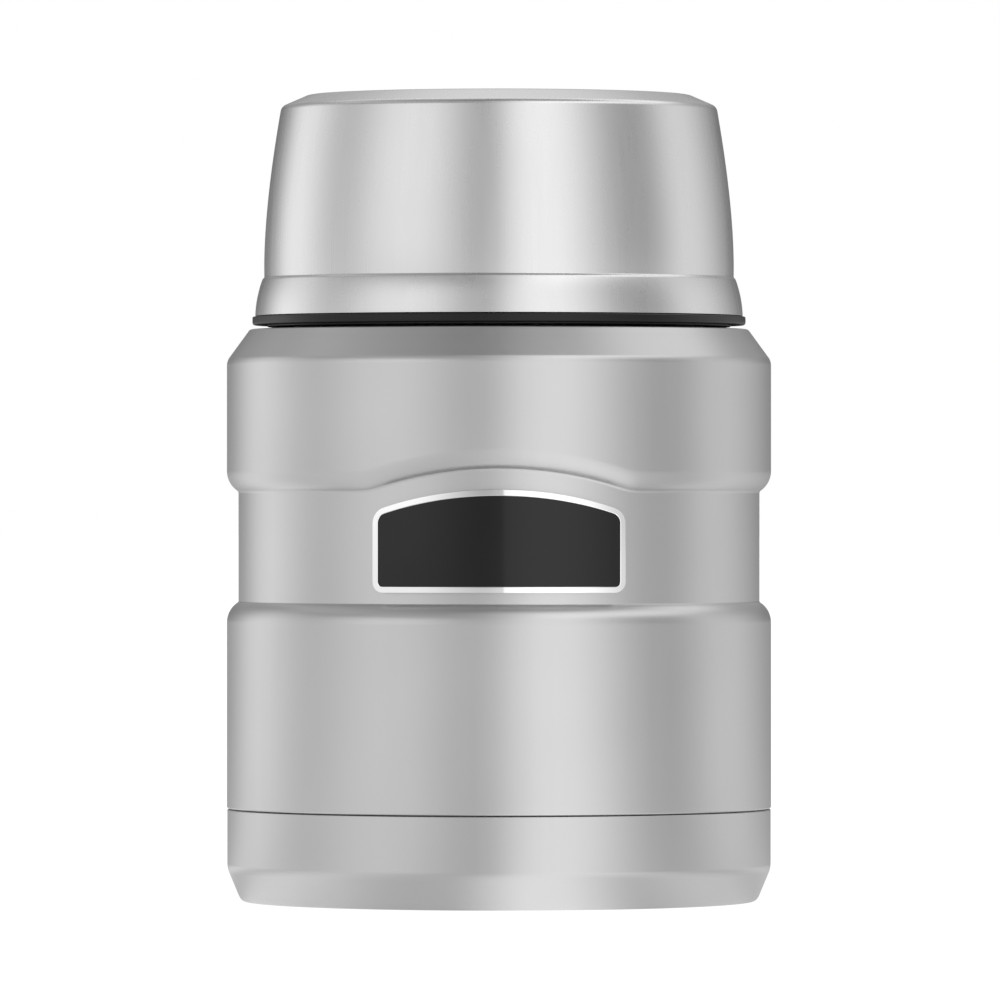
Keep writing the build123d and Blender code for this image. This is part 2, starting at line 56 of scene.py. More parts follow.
# soft panels round the jar, in degrees: the centre is counted from the camera's side towards
# the camera's right, the fades from the centre, and the heights up from the floor; "floor" is the
# share of its light that the paper's glow paints back at the jar as painted bounce light, for a
# panel that stands on it
panels = {
    "keyRight": {
        "centre": 20, "fadeIn": (-30, -3), "fadeOut": (5, 52),
        "top": (30, 43), "strength": 0.44, "floor": 0.85,
    },
    "keyRightEdge": {
        "centre": 20, "fadeIn": (-18.5, -17.5), "fadeOut": (5, 46),
        "top": (30, 43), "strength": 0.42, "floor": 0.7,
    },
    "keyLeft": {
        "centre": -50, "fadeIn": (-49, -1), "fadeOut": (10, 47),
        "top": (27, 40), "strength": 0.72, "floor": 0.38,
    },
    "rimLeft": {
        "centre": -120, "fadeIn": (-27, -4), "fadeOut": (0, 45),
        "top": (0, 55), "strength": 0.82, "floor": 0.65,
    },
    "rimRight": {
        "centre": 107, "fadeIn": (-29, -6), "fadeOut": (0, 43),
        "top": (12, 55), "strength": 0.53, "floor": 0.62,
    },
    "overRight": {
        "centre": 60, "fadeIn": (-73, -30), "fadeOut": (12, 109),
        "foot": (30, 39), "top": (55, 67), "strength": 1.26,
    },
    "overBack": {
        "centre": 170, "fadeIn": (-60, -40), "fadeOut": (40, 57),
        "foot": (28, 44), "top": (63, 75), "strength": 0.87,
    },
    "lowBack": {
        "centre": 180, "fadeIn": (-22, -10), "fadeOut": (10, 22),
        "foot": (8, 14), "top": (38, 48), "strength": 0.09,
    },
    "highBack": {
        "centre": 180, "fadeIn": (-45, -30), "fadeOut": (30, 45),
        "foot": (52, 60), "top": (66, 74), "strength": 0.30,
    },
    "overLeft": {
        "centre": -70, "fadeIn": (-85, -60), "fadeOut": (0, 155),
        "foot": (37, 39), "top": (48, 82), "strength": 0.54,
    },
    "overFront": {
        "centre": 18, "fadeIn": (-34, -4), "fadeOut": (16, 50),
        "foot": (50, 62), "top": (74, 84), "strength": 0.30,
    },
    "blackBack": {
        "centre": 180, "fadeIn": (-40, -15), "fadeOut": (15, 40),
        "top": (8, 18), "strength": -0.24, "floor": 1,
    },
    "overhead": {
        "centre": 180, "fadeIn": (-179, -60), "fadeOut": (60, 179),
        "foot": (56, 86), "strength": 0.65,
    },
}

# painted bounce light: what the paper's glow throws back close to the foot, in the same degrees
footPanels = {
    "footKey": {"centre": 11, "fadeIn": (-24, -3), "fadeOut": (2, 26), "strength": 0.50},
    "footLeft": {"centre": -64, "fadeIn": (-30, -5), "fadeOut": (0, 45), "strength": 0.345},
    "footRight": {"centre": 58, "fadeIn": (-30, -2), "fadeOut": (4, 30), "strength": 0.153},
}

studio = {
    "surround": 0.36,  # even light between the panels, up to surroundTop degrees
    "surroundTop": (30, 38),
    "backdrop": 1.0,
    "floorColour": (0.25, 0.25, 0.25, 1),
    "floorGlow": 0.40,
    "footGlow": 0.53,
    "footReach": (55, 75),  # millimetres from the axis
    "floorSeen": 0.92,  # the paper's glow as the camera sees it
    "floorRoughness": 0.9,
    "floorSize": 30.0,
}


def placeCamera():
    data = bpy.data.cameras.new("camera")
    data.lens = camera["lens"]
    data.sensor_width = camera["sensor"]
    data.shift_x, data.shift_y = camera["shift"]
    eye = bpy.data.objects.new("camera", data)
    eye.location = (0, -camera["distance"], camera["height"])
    eye.rotation_euler = (radians(90), 0, 0)
    bpy.context.scene.collection.objects.link(eye)
    bpy.context.scene.camera = eye


def maths(nodes, links, operation, *values):
    # one Math node fed with sockets or numbers
    node = nodes.new("ShaderNodeMath")
    node.operation = operation
    for socket, value in zip(node.inputs, values):
        if isinstance(value, (int, float)):
            socket.default_value = value
        else:
            links.new(value, socket)
    return node.outputs[0]


def fade(nodes, links, value, start, end, rising=True):
    # a soft step between two values
    step = nodes.new("ShaderNodeMapRange")
    step.interpolation_type = "SMOOTHSTEP"
    step.inputs["From Min"].default_value = start
    step.inputs["From Max"].default_value = end
    step.inputs["To Min"].default_value = 0 if rising else 1
    step.inputs["To Max"].default_value = 1 if rising else 0
    links.new(value, step.inputs["Value"])
    return step.outputs["Result"]


def panelGlow(nodes, links, place, lights, standing=False):
    # adds up the lights as seen in a direction; standing leaves out the ones that hang overhead
    split = nodes.new("ShaderNodeSeparateXYZ")
    links.new(place, split.inputs["Vector"])
    toCamera = maths(nodes, links, "MULTIPLY", split.outputs["Y"], -1)
    azimuth = maths(nodes, links, "ARCTAN2", split.outputs["X"], toCamera)
    azimuth = maths(nodes, links, "DEGREES", azimuth)
    total = 0.0
    if not standing:
        height = maths(nodes, links, "ARCSINE", split.outputs["Z"])
        height = maths(nodes, links, "DEGREES", height)
        surround = fade(nodes, links, height, *studio["surroundTop"], rising=False)
        total = maths(nodes, links, "MULTIPLY", surround, studio["surround"])
    for panel in lights.values():
        if standing and "foot" in panel:
            continue
        offset = maths(nodes, links, "SUBTRACT", azimuth, panel["centre"])
        offset = maths(nodes, links, "WRAP", offset, 180, -180)
        rise = fade(nodes, links, offset, *panel["fadeIn"])
        fall = fade(nodes, links, offset, *panel["fadeOut"], rising=False)
        glow = maths(nodes, links, "MULTIPLY", rise, fall)
        strength = panel["strength"]
        if standing:
            strength *= panel.get("floor", 1)
        else:
            if "foot" in panel:
                foot = fade(nodes, links, height, *panel["foot"])
                glow = maths(nodes, links, "MULTIPLY", glow, foot)
            if "top" in panel:
                top = fade(nodes, links, height, *panel["top"], rising=False)
                glow = maths(nodes, links, "MULTIPLY", glow, top)
        total = maths(nodes, links, "MULTIPLY_ADD", glow, strength, total)
    return total


def paintWorld():
    # the soft panels in an even light all round; the camera itself sees a white backdrop
    world = bpy.data.worlds.new("studio")
    world.use_nodes = True
    nodes, links = world.node_tree.nodes, world.node_tree.links
    nodes.clear()
    direction = nodes.new("ShaderNodeTexCoord")
    light = nodes.new("ShaderNodeBackground")
    seen = nodes.new("ShaderNodeBackground")
    light.inputs["Color"].default_value = seen.inputs["Color"].default_value = (1, 1, 1, 1)
    seen.inputs["Strength"].default_value = studio["backdrop"]
    links.new(panelGlow(nodes, links, direction.outputs["Generated"], panels), light.inputs["Strength"])
    path = nodes.new("ShaderNodeLightPath")
    choose = nodes.new("ShaderNodeMixShader")
    output = nodes.new("ShaderNodeOutputWorld")
    links.new(path.outputs["Is Camera Ray"], choose.inputs["Fac"])
    links.new(light.outputs[0], choose.inputs[1])
    links.new(seen.outputs[0], choose.inputs[2])
    links.new(choose.outputs[0], output.inputs["Surface"])
    bpy.context.scene.world = world


def layFloor():
    bm = bmesh.new()
    bmesh.ops.create_grid(bm, x_segments=1, y_segments=1, size=studio["floorSize"] / 2)
    mesh = bpy.data.meshes.new("floor")
    bm.to_mesh(mesh)
    bm.free()
    floor = bpy.data.objects.new("floor", mesh)
    floor.location.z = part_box("base_cap")[0].z
    bpy.context.scene.collection.objects.link(floor)
    paper = bpy.data.materials.new("floorPaper")
    paper.use_nodes = True
    nodes, links = paper.node_tree.nodes, paper.node_tree.links
    shader = nodes["Principled BSDF"]
    shader.inputs["Base Color"].default_value = studio["floorColour"]
    shader.inputs["Roughness"].default_value = studio["floorRoughness"]
    shader.inputs["Specular IOR Level"].default_value = 0.0
    shader.inputs["Emission Color"].default_value = (1, 1, 1, 1)
    # painted light: the paper glows with the light it would throw back from the panels, stronger close
    # to the foot; the camera sees an even near-white glow instead
    place = nodes.new("ShaderNodeTexCoord")
    far = panelGlow(nodes, links, place.outputs["Object"], panels, standing=True)
    near = panelGlow(nodes, links, place.outputs["Object"], footPanels, standing=True)
    reach = nodes.new("ShaderNodeVectorMath")
    reach.operation = "LENGTH"
    links.new(place.outputs["Object"], reach.inputs[0])
    start, end = studio["footReach"]
    share = fade(nodes, links, reach.outputs["Value"], start * mm, end * mm)
    far = maths(nodes, links, "MULTIPLY", maths(nodes, links, "ADD", far, studio["floorGlow"]), share)
    near = maths(nodes, links, "ADD", near, studio["footGlow"])
    near = maths(nodes, links, "MULTIPLY", near, maths(nodes, links, "SUBTRACT", 1, share))
    paintedBounce = maths(nodes, links, "ADD", far, near)
    path = nodes.new("ShaderNodeLightPath")
    choose = nodes.new("ShaderNodeMapRange")
    choose.inputs["To Max"].default_value = studio["floorSeen"]
    links.new(path.outputs["Is Camera Ray"], choose.inputs["Value"])
    links.new(paintedBounce, choose.inputs["To Min"])
    links.new(choose.outputs["Result"], shader.inputs["Emission Strength"])
    mesh.materials.append(paper)


bpy.context.scene.view_settings.view_transform = "Standard"
placeCamera()
paintWorld()
layFloor()
print("camera, floor and lights are up")


# finishes

def newFinish(name):
    finish = bpy.data.materials.new(name)
    finish.use_nodes = True
    nodes, links = finish.node_tree.nodes, finish.node_tree.links
    return finish, nodes, links, nodes["Principled BSDF"]


def stretchedNoise(nodes, links, scale, detail=3, roughness=0.6):
    # noise on the piece's own coordinates, stretched by a Mapping node's scale
    place = nodes.new("ShaderNodeTexCoord")
    stretch = nodes.new("ShaderNodeMapping")
    stretch.inputs["Scale"].default_value = scale
    noise = nodes.new("ShaderNodeTexNoise")
    noise.inputs["Scale"].default_value = 1
    noise.inputs["Detail"].default_value = detail
    noise.inputs["Roughness"].default_value = roughness
    links.new(place.outputs["Object"], stretch.inputs["Vector"])
    links.new(stretch.outputs["Vector"], noise.inputs["Vector"])
    return noise


def spread(nodes, links, source, low, high, sourceLow=0.3, sourceHigh=0.7):
    # maps a noise value onto a range
    span = nodes.new("ShaderNodeMapRange")
    span.inputs["From Min"].default_value = sourceLow
    span.inputs["From Max"].default_value = sourceHigh
    span.inputs["To Min"].default_value = low
    span.inputs["To Max"].default_value = high
    links.new(source, span.inputs["Value"])
    return span.outputs["Result"]


def greyTone(nodes, links, noise, shader, low, high):
    # a grey that wanders between two values
    tone = spread(nodes, links, noise.outputs["Fac"], low, high)
    colour = nodes.new("ShaderNodeCombineColor")
    for channel in ("Red", "Green", "Blue"):
        links.new(tone, colour.inputs[channel])
    links.new(colour.outputs["Color"], shader.inputs["Base Color"])


def unevenGloss(nodes, links, noise, shader, roughness, swing):
    gloss = spread(nodes, links, noise.outputs["Fac"], roughness - swing, roughness + swing)
    links.new(gloss, shader.inputs["Roughness"])


def addBump(nodes, links, noise, shader, depth, distance):
    bump = nodes.new("ShaderNodeBump")
    bump.inputs["Strength"].default_value = depth
    bump.inputs["Distance"].default_value = distance
    links.new(noise.outputs["Fac"], bump.inputs["Height"])
    links.new(bump.outputs["Normal"], shader.inputs["Normal"])


# grain is the noise's scale along x, y and z; mottle is added to and taken from the grey
steelLooks = {
    "bodySteel": {
        "grey": 0.61, "roughness": 0.35, "grain": (900, 900, 18), "depth": 0.004, "mottle": 0.02,
    },
    "baseSteel": {
        "grey": 0.60, "roughness": 0.34, "grain": (900, 900, 18), "depth": 0.004, "mottle": 0.02,
    },
    "lidSteel": {
        "grey": 0.735, "roughness": 0.28, "grain": (700, 700, 14), "depth": 0.003, "mottle": 0.015,
    },
    "vesselSteel": {
        "grey": 0.66, "roughness": 0.22, "grain": (120, 120, 900), "depth": 0.012, "mottle": 0.03,
    },
    "spoonSteel": {
        "grey": 0.72, "roughness": 0.20, "grain": (40, 900, 900), "depth": 0.012, "mottle": 0.02,
    },
    "plateSteel": {
        "grey": 0.50, "roughness": 0.45, "grain": (300, 300, 300), "depth": 0.02, "mottle": 0.06,
    },
}
steel = {
    "cloud": 22,  # scale of the slow mottling
    "glossSpread": 0.015,
    "bump": 0.0002,
}


def steelFinish(name):
    # satin steel: fine grain in the bump and roughness, slow mottling in the colour
    look = steelLooks[name]
    finish, nodes, links, shader = newFinish(name)
    grain = stretchedNoise(nodes, links, look["grain"])
    cloud = stretchedNoise(nodes, links, (steel["cloud"],) * 3, detail=2)
    greyTone(nodes, links, cloud, shader, look["grey"] - look["mottle"], look["grey"] + look["mottle"])
    unevenGloss(nodes, links, grain, shader, look["roughness"], steel["glossSpread"])
    addBump(nodes, links, grain, shader, look["depth"], steel["bump"])
    shader.inputs["Metallic"].default_value = 1.0
    return finish


plasticLooks = {
    "stopperPlastic": {"grey": 0.022, "roughness": 0.42, "pebble": 2600, "depth": 0.10},
    "linerPlastic": {"grey": 0.028, "roughness": 0.34, "pebble": 2200, "depth": 0.05},
    "rimPlastic": {"grey": 0.008, "roughness": 0.34, "pebble": 2400, "depth": 0.05, "specular": 0.32},
    "badgeBlack": {"grey": 0.008, "roughness": 0.09, "pebble": 1500, "depth": 0.0, "specular": 0.36},
    "silicone": {"grey": 0.22, "roughness": 0.55, "pebble": 1800, "depth": 0.06},
    "foam": {"grey": 0.80, "roughness": 0.85, "pebble": 900, "depth": 0.5},
    "adhesive": {"grey": 0.70, "roughness": 0.45, "pebble": 500, "depth": 0.1},
    "getterMetal": {"grey": 0.16, "roughness": 0.6, "pebble": 3000, "depth": 0.4},
    "sealSolder": {"grey": 0.30, "roughness": 0.4, "pebble": 900, "depth": 0.2},
}
plastic = {
    "cloud": 60,
    "toneSpread": 0.1,  # share of the grey
    "glossSpread": 0.03,
    "bump": 0.0001,
    "specular": 0.5,
}


def plasticFinish(name):
    # moulded surface: a fine pebble in the bump, slightly uneven gloss
    look = plasticLooks[name]
    finish, nodes, links, shader = newFinish(name)
    pebble = stretchedNoise(nodes, links, (look["pebble"],) * 3, detail=2)
    cloud = stretchedNoise(nodes, links, (plastic["cloud"],) * 3, detail=2)
    low, high = 1 - plastic["toneSpread"], 1 + plastic["toneSpread"]
    greyTone(nodes, links, cloud, shader, look["grey"] * low, look["grey"] * high)
    unevenGloss(nodes, links, cloud, shader, look["roughness"], plastic["glossSpread"])
    addBump(nodes, links, pebble, shader, look["depth"], plastic["bump"])
    shader.inputs["Specular IOR Level"].default_value = look.get("specular", plastic["specular"])
    return finish


chrome = {"grey": 0.96, "cloud": 90, "roughness": 0.045, "glossSpread": 0.015}
foil = {"grey": 0.85, "roughness": 0.2, "crinkle": 260, "depth": 0.4, "bump": 0.0002}


def chromeFinish():
    finish, nodes, links, shader = newFinish("badgeChrome")
    cloud = stretchedNoise(nodes, links, (chrome["cloud"],) * 3, detail=2)
    unevenGloss(nodes, links, cloud, shader, chrome["roughness"], chrome["glossSpread"])
    shader.inputs["Base Color"].default_value = (*[chrome["grey"]] * 3, 1)
    shader.inputs["Metallic"].default_value = 1.0
    return finish


def foilFinish():
    finish, nodes, links, shader = newFinish("foil")
    crinkle = stretchedNoise(nodes, links, (foil["crinkle"],) * 3, detail=4)
    addBump(nodes, links, crinkle, shader, foil["depth"], foil["bump"])
    shader.inputs["Base Color"].default_value = (*[foil["grey"]] * 3, 1)
    shader.inputs["Roughness"].default_value = foil["roughness"]
    shader.inputs["Metallic"].default_value = 1.0
    return finish


finishes = {name: steelFinish(name) for name in steelLooks}
finishes.update({name: plasticFinish(name) for name in plasticLooks})
finishes["badgeChrome"] = chromeFinish()
finishes["foil"] = foilFinish()

nodeFinishes = {
    "vacuum_bottom_plate": "plateSteel",
    "evacuation_seal": "sealSolder",
    "getter_holder": "plateSteel",
    "getter_tablet": "getterMetal",
    "radiation_foil": "foil",
    "base_adhesive": "adhesive",
    "badge_tape": "adhesive",
    "stopper_insulation": "foam",
    "lid_insulation": "foam",
}
for node, finishName in nodeFinishes.items():
    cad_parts[node].data.materials.clear()
    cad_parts[node].data.materials.append(finishes[finishName])
print("finishes are mixed")


# modelling helpers

def closeMesh(bm, name, finish, body, replaced, sharp=40):
    # welds, scales from millimetres, faces outwards, and hangs the piece on its body
    bmesh.ops.remove_doubles(bm, verts=bm.verts, dist=0.001)  # still in millimetres
    bmesh.ops.scale(bm, vec=(mm, mm, mm), verts=bm.verts)
    bmesh.ops.recalc_face_normals(bm, faces=bm.faces)
    mesh = bpy.data.meshes.new(name)
    bm.to_mesh(mesh)
    bm.free()
    mesh.materials.append(finishes[finish])
    mesh.shade_smooth()
    mesh.set_sharp_from_angle(angle=radians(sharp))
    piece = bpy.data.objects.new(name, mesh)
    bpy.context.scene.collection.objects.link(piece)
    even = piece.modifiers.new("evenNormals", "WEIGHTED_NORMAL")
    even.keep_sharp = True
    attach(piece, body)
    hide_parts(replaced)


def arcPoints(centre, radius, start, end, count):
    # points on a circle in the half section, without the first one
    steps = [start + (end - start) * k / count for k in range(1, count + 1)]
    return [(centre[0] + radius * cos(a), centre[1] + radius * sin(a), 0) for a in steps]


def roundLast(outline, rounding):
    # gives the corner that ends a curve its rounding
    radius, height, _ = outline[-1]
    outline[-1] = (radius, height, rounding)


def bowedPoints(start, middle, end, count):
    # points on the curve through three points, without the first one
    points = []
    for k in range(1, count + 1):
        t = k / count
        weights = (2 * (t - 0.5) * (t - 1), 4 * t * (1 - t), 2 * t * (t - 0.5))
        radius = sum(w * p[0] for w, p in zip(weights, (start, middle, end)))
        height = sum(w * p[1] for w, p in zip(weights, (start, middle, end)))
        points.append((radius, height, 0))
    return points


def roundedFace(bm, places, roundings, segments=5):
    # one flat face with some of its corners rounded
    ring = [bm.verts.new(place) for place in places]
    bm.faces.new(ring)
    for vert, rounding in zip(ring, roundings):
        if rounding:
            bmesh.ops.bevel(
                bm,
                geom=[vert],
                affect="VERTICES",
                offset=rounding,
                segments=segments,
                profile=0.5,
                material=-1,
            )


def turnSection(corners, steps=256, segments=5):
    # spins a half section of (radius, height, rounding) corners about the axis
    bm = bmesh.new()
    roundedFace(bm, [(r, 0, z) for r, z, _ in corners], [c[2] for c in corners], segments)
    bmesh.ops.delete(bm, geom=bm.faces[:], context="FACES_ONLY")
    onAxis = [e for e in bm.edges if all(abs(v.co.x) < 1e-4 for v in e.verts)]
    bmesh.ops.delete(bm, geom=onAxis, context="EDGES")
    bmesh.ops.spin(
        bm,
        geom=bm.verts[:] + bm.edges[:],
        cent=(0, 0, 0),
        axis=(0, 0, 1),
        angle=2 * pi,
        steps=steps,
        use_merge=True,
    )
    return bm


def addPart(bm, part, matrix):
    # moves a second mesh and joins it to the first
    part.transform(matrix)
    carrier = bpy.data.meshes.new("carrier")
    part.to_mesh(carrier)
    part.free()
    bm.from_mesh(carrier)
    bpy.data.meshes.remove(carrier)


def raiseFaces(bm, vec):
    # thickens flat faces into a closed plate
    raised = bmesh.ops.extrude_face_region(bm, geom=bm.faces[:])
    front = [g for g in raised["geom"] if isinstance(g, bmesh.types.BMVert)]
    bmesh.ops.translate(bm, vec=vec, verts=front)
    bmesh.ops.recalc_face_normals(bm, faces=bm.faces)


def softenEdges(bm, edges, offset, segments=3):
    bmesh.ops.bevel(
        bm,
        geom=edges,
        affect="EDGES",
        offset=offset,
        segments=segments,
        profile=0.5,
        material=-1,
    )


def cutPlate(corners, thickness, soften, hole=(), sharp=60):
    # a flat plate of (x, y, rounding) corners on z = 0, pierced by hole; its sharp edges are softened
    bm = bmesh.new()
    for outline in (corners, hole):
        if outline:
            roundedFace(bm, [(x, y, 0) for x, y, _ in outline], [c[2] for c in outline], segments=8)
    bmesh.ops.delete(bm, geom=bm.faces[:], context="FACES_ONLY")
    bmesh.ops.triangle_fill(bm, edges=bm.edges[:], use_beauty=True, use_dissolve=False)
    raiseFaces(bm, (0, 0, thickness))
    softenEdges(bm, [e for e in bm.edges if e.calc_face_angle(0) > radians(sharp)], soften)
    return bm


# screw threads: a trapezoid ridge with rounded crests that runs out at both ends

thread = {
    "height": 1.0,
    "root": 2.2,
    "crest": 1.0,
    "rounding": 0.3,
    "sink": 0.2,
    "runOut": 14,  # degrees
    "step": 2.5,
}
neckThread = {"lead": 10.0, "starts": 2, "turn": 200, "bottom": 103.4}
lidThread = {"lead": 20.0, "starts": 4, "turn": 95, "bottom": 105.2}


def halfPitch(place):
    return place["lead"] / place["starts"] / 2


def addThread(bm, root, side, place, drop=0.0):
    # ridges on a round wall, side 1 outwards or -1 inwards; drop lowers a mating thread
    for start in range(place["starts"]):
        ridge = bmesh.new()
        section = (
            (-thread["sink"], -thread["root"] / 2),
            (thread["height"], -thread["crest"] / 2),
            (thread["height"], thread["crest"] / 2),
            (-thread["sink"], thread["root"] / 2),
        )
        places = [(root + side * out, 0, place["bottom"] - drop + up) for out, up in section]
        roundedFace(ridge, places, (0, thread["rounding"], thread["rounding"], 0), segments=3)
        steps = round(place["turn"] / thread["step"])
        bmesh.ops.spin(
            ridge,
            geom=ridge.verts[:] + ridge.edges[:] + ridge.faces[:],
            cent=(0, 0, 0),
            axis=(0, 0, 1),
            angle=radians(place["turn"]),
            dvec=(0, 0, place["lead"] * place["turn"] / 360 / steps),
            steps=steps,
        )
        for vert in ridge.verts:
            radius = hypot(vert.co.x, vert.co.y)
            along = (degrees(atan2(vert.co.y, vert.co.x)) + 1) % 360 - 1  # the start stays near 0
            left = place["turn"] - along
            share = max(0, min(1, along / thread["runOut"], left / thread["runOut"]))
            height = side * (radius - root)
            if height > 0:
                wanted = root + side * height * share
                vert.co.x *= wanted / radius
                vert.co.y *= wanted / radius
        addPart(bm, ridge, Matrix.Rotation(2 * pi * start / place["starts"], 4, "Z"))


# outer shell: body, arched waist, shoulder and neck

shell = {
    "body": 47.0,
    "waist": 45.0,
    "wall": 0.5,
    "crease": 4.1,  # radius of the rounding between body and waist
    "waistBottom": 51.7,
    "waistTop": 70.75,
    "archRise": 3.83,
    "archSlope": 0.669,
    "archBlend": 0.35,
    "bodyTop": 93.3,
    "shoulder": (43.0, 98.78),
    "neck": 35.2,
    "lip": 116.5,
    "step": (46.0, 6.6, 15.7, 16.2),  # radius, lower end, and the slope out to the body
    "softEdge": 0.7,
    "shoulderEdge": 0.35,
    "creaseEdge": 0.12,
    "archEdge": 0.32,
    "archMargin": 1.0,  # how far past the upper crease the arch still lifts the sheet
    "stepEdge": 0.15,
    "neckRoot": 0.5,
}


def archLift(x, y):
    # how far the waist's upper edge rises above the badge, at this side of the jar
    around = hypot(x, y)
    if y > 0 or around < 1:
        return 0
    fall = shell["archSlope"] * shell["waist"] * (1 + y / around)
    rise = shell["archRise"] - fall
    return (rise + sqrt(rise * rise + shell["archBlend"] ** 2)) / 2


def shellOutline(inset):
    # the outside, bottom to top, moved inwards by the wall for the inside; a corner between a
    # slope and a straight wall moves along the jar by a share of it
    body, neck = shell["body"] - inset, shell["neck"] - inset
    core = shell["body"] - shell["crease"]
    bend = asin(sqrt(shell["crease"] ** 2 - (shell["waist"] - core) ** 2) / shell["crease"])
    drop = shell["crease"] * sin(bend)
    radius = shell["crease"] - inset
    stepRadius, bottom, stepBottom, stepTop = shell["step"]
    low, high = shell["waistBottom"] - drop, shell["waistTop"] + drop
    outline = [(stepRadius - inset, bottom, 0), (stepRadius - inset, stepBottom, 0)]
    outline += [(body, stepTop + inset / 2, shell["stepEdge"]), (body, low, 0)]
    outline += arcPoints((core, low), radius, 0, bend, 10)
    roundLast(outline, shell["creaseEdge"])
    outline += [(core + radius * cos(bend), high - radius * sin(bend), shell["archEdge"])]
    outline += arcPoints((core, high), radius, -bend, 0, 10)
    shoulder, shoulderTop = shell["shoulder"]
    outline += [
        (body, shell["bodyTop"] - inset / 3, shell["softEdge"]),
        (shoulder - inset * 0.4, shoulderTop - inset, shell["shoulderEdge"]),
        (neck, shoulderTop - inset, shell["neckRoot"]),
        (neck, shell["lip"], 0),
    ]
    return outline


def makeOuterShell():
    bm = turnSection(shellOutline(0) + shellOutline(shell["wall"])[::-1])
    low = shell["waistTop"] - shell["archMargin"]
    high = shell["waistTop"] + shell["crease"] + shell["archMargin"]
    for vert in bm.verts:
        if low < vert.co.z < high:
            vert.co.z += archLift(vert.co.x, vert.co.y)
    addThread(bm, shell["neck"], 1, neckThread)
    closeMesh(bm, "bodyShell", "bodySteel", "jar", "outer_shell")


makeOuterShell()
print("outer shell is turned")


# base cap

cap = {
    "radius": 46.93,
    "wall": 0.5,
    "top": 15.9,
    "lipEdge": 0.15,
    "chamferTop": 5.7,
    "chamferTopInside": 5.8,
    "chamferEdge": 0.8,
    "toe": (44.85, 0.75, 0.5),  # radius, height and rounding where the chamfer starts
    "toeInside": (44.3, 0.9, 0.5),
    "foot": 44.3,
    "footEdge": 0.6,
    "ringEdge": 0.3,
    "recessRadius": 36.0,
    "recess": 1.0,
    "recessEdge": 0.4,
    "recessSlant": 0.2,  # how far the sloping wall's inside stands off sideways
}


def makeBaseCap():
    radius, wall, ringEdge = cap["radius"], cap["wall"], cap["ringEdge"]
    recess, recessRadius = cap["recess"], cap["recessRadius"]
    outside = [
        (0, recess, 0),
        (recessRadius, recess, cap["recessEdge"]),
        (recessRadius + recess, 0, ringEdge),
        (cap["foot"], 0, cap["footEdge"]),
        cap["toe"],
        (radius, cap["chamferTop"], cap["chamferEdge"]),
        (radius, cap["top"], cap["lipEdge"]),
    ]
    recessRadius += cap["recessSlant"]
    inside = [
        (radius - wall, cap["top"], 0),
        (radius - wall, cap["chamferTopInside"], cap["chamferEdge"]),
        cap["toeInside"],
        (cap["foot"] - wall, wall, ringEdge),
        (recessRadius + recess, wall, ringEdge),
        (recessRadius, recess + wall, ringEdge),
        (0, recess + wall, 0),
    ]
    bm = turnSection(outside + inside)
    closeMesh(bm, "baseCap", "baseSteel", "jar", "base_cap")


makeBaseCap()
print("base cap is pressed")


# lid shell and rim ring

lid = {
    "bottom": 101.05,
    "skirt": 42.12,
    "skirtBow": 0.36,  # how far the skirt's middle is drawn in
    "edge": 0.12,
    "waist": 40.88,
    "step": 107.4,
    "stepEdge": 0.25,
    "wall": 40.55,
    "middle": (39.93, 120.8),
    "corner": (37.6, 137.2),
    "cornerEdge": 0.7,
    "bevel": 33.0,
    "top": 139.2,
    "topEdge": 0.4,
    "sheet": 0.5,
}


def lidOutline(inset):
    # skirt, step, bowed wall and bevelled top, moved inwards by the sheet for the inside
    skirt, waist, wall = lid["skirt"] - inset, lid["waist"] - inset, lid["wall"] - inset
    (middle, middleZ), (corner, cornerZ) = lid["middle"], lid["corner"]
    bottom, step = lid["bottom"], lid["step"]
    outline = [(skirt, bottom, 0 if inset else lid["edge"])]
    drawnIn = (skirt - lid["skirtBow"], (bottom + step) / 2)
    outline += bowedPoints((skirt, bottom), drawnIn, (waist, step), 8)
    roundLast(outline, lid["stepEdge"])
    step += waist - wall
    outline += [(wall, step, lid["edge"])]
    bevelled = (corner - inset, cornerZ - inset / 2)
    outline += bowedPoints((wall, step), (middle - inset, middleZ), bevelled, 16)
    roundLast(outline, lid["cornerEdge"])
    top = lid["top"] - inset
    outline += [(lid["bevel"] - inset / 2, top, lid["topEdge"]), (0, top, 0)]
    return outline


def makeLidShell():
    bm = turnSection(lidOutline(0) + lidOutline(lid["sheet"])[::-1])
    closeMesh(bm, "lidShell", "lidSteel", "lid", "lid_shell")


rim = {
    "outer": 42.6,
    "inner": 39.1,
    "lip": 41.5,
    "ledge": 99.95,
    "bottom": 99.45,
    "top": 100.95,
    "edge": 0.25,
    "footEdge": 0.45,
    "innerEdge": 0.15,
}


def makeRimRing():
    bm = turnSection(
        [
            (rim["inner"], rim["ledge"], rim["innerEdge"]),
            (rim["lip"], rim["ledge"], 0),
            (rim["lip"], rim["bottom"], rim["innerEdge"]),
            (rim["outer"], rim["bottom"], rim["footEdge"]),
            (rim["outer"], rim["top"], rim["edge"]),
            (rim["inner"], rim["top"], rim["innerEdge"]),
        ]
    )
    closeMesh(bm, "rimRing", "rimPlastic", "lid_ring", "lid_rim_ring")


makeLidShell()
makeRimRing()
print("lid shell and rim ring are turned")


# badge: a blank plate in a raised frame, bent round the waist

badge = {
    "halfWidth": 20.95,
    "bottom": 53.6,
    "sideTop": 67.4,
    "peak": 71.1,
    "border": 1.07,
    "corner": 1.9,
    "back": 45.25,
    "frameHeight": 0.9,
    "faceHeight": 0.6,
    "waist": 45.0,
    "slice": 0.75,
    "gap": 0.03,
    "frameEdge": 0.13,
}


